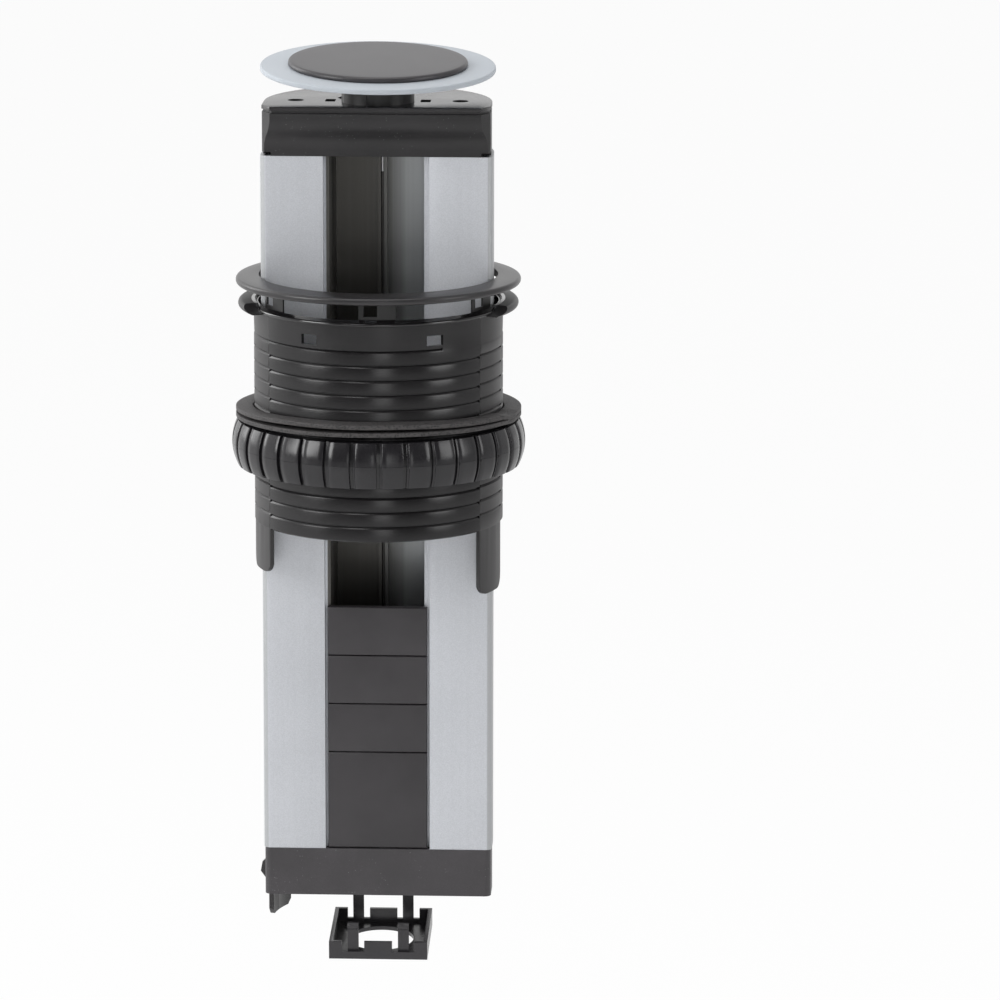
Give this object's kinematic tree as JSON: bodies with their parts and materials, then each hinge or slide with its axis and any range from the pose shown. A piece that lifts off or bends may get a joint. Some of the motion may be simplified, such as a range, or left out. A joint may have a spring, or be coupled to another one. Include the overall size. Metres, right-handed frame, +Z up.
{
  "type": "desk socket",
  "caption": "Pull-up desk power tower: an aluminium column of 45 mm module bays that slides in a threaded desk collar with a clamp nut, under a frosted press lid.",
  "frame": {"origin": "on the collar's axis, in the plane of the desk top that the flange rests on", "axes": "+Z up along the tower's travel; -Y is the front with the module bays; +X is to the right seen from the front"},
  "size_m": [0.1322, 0.1322, 0.4152],
  "materials": {
    "collar_plastic": "satin moulded black plastic",
    "black_plastic": "fine-grained black plastic",
    "blank_plastic": "matt dark grey plastic",
    "disc_plastic": "matt dark grey plastic",
    "foam": "closed-cell foam",
    "glide_felt": "glide felt",
    "anodised": "satin natural anodised",
    "steel": "zinc plated",
    "frosted_glass": "frosted, pale blue-green",
    "terminal_plastic": "off-white moulded",
    "brass": "bright"
  },
  "bodies": {
    "desk_collar": {"collar": "collar_plastic", "side_strip_left": "collar_plastic", "side_strip_right": "collar_plastic", "glide_strips": "glide_felt"},
    "trim": {"trim_ring": "collar_plastic"},
    "gaskets": {"gasket_upper": "foam", "gasket_lower": "foam"},
    "nut": {"clamp_nut": "collar_plastic"},
    "tower": {"column": "anodised", "head_top_plate": "black_plastic", "head_body": "black_plastic", "head_screws": "steel", "rear_head_screw": "steel", "blank_small_1": "blank_plastic", "blank_small_2": "blank_plastic", "blank_small_3": "blank_plastic", "blank_large": "blank_plastic", "base_cap": "black_plastic", "base_screws": "steel", "stop_latch": "black_plastic", "terminal_carrier": "steel", "terminal_block": "terminal_plastic", "terminal_screws": "brass", "earth_screw": "brass"},
    "stem": {"neck": "black_plastic", "lid_spring": "steel", "rocker_pin": "steel"},
    "lid": {"lid_hub": "black_plastic", "lid_glass": "frosted_glass", "hub_screw": "steel", "press_disc": "disc_plastic"},
    "frame": {"outlet_frame": "black_plastic"}
  },
  "joints": [
    {"name": "tower_slide", "type": "slide", "parent": "desk_collar", "child": "tower", "axis": [0, 0, 1], "range_m": [-0.101, 0.162]},
    {"name": "lid_press", "type": "slide", "parent": "tower", "child": "stem", "axis": [0, 0, 1], "range_m": [-0.003, 0], "stiffness_N_per_m": 600, "springref_m": 0.005, "deforming": ["lid_spring"]},
    {"name": "lid_tilt", "type": "hinge", "parent": "stem", "child": "lid", "pos_m": [0, 0, 0.1013], "axis": [0.9848, 0.1736, 0], "range_deg": [-4.2, 0]},
    {"name": "trim_ring_slide", "type": "slide", "parent": "desk_collar", "child": "trim", "axis": [0, 0, 1], "range_m": [-0.0069, 0]},
    {"name": "nut_travel", "type": "slide", "parent": "desk_collar", "child": "gaskets", "axis": [0, 0, 1], "range_m": [-0.02508, 0.0429]},
    {"name": "nut_spin", "type": "hinge", "parent": "gaskets", "child": "nut", "pos_m": [0, 0, -0.061], "axis": [0, 0, 1], "range_deg": [-1368, 2340]},
    {"name": "outlet_frame_swing", "type": "hinge", "parent": "tower", "child": "frame", "pos_m": [0, 0.0289, -0.26735], "axis": [-1, 0, 0], "range_deg": [0, 14.5]}
  ],
  "couplings": [
    {"joint": "nut_travel", "follows": "nut_spin", "m_per_rad": 0.0010504}
  ]
}
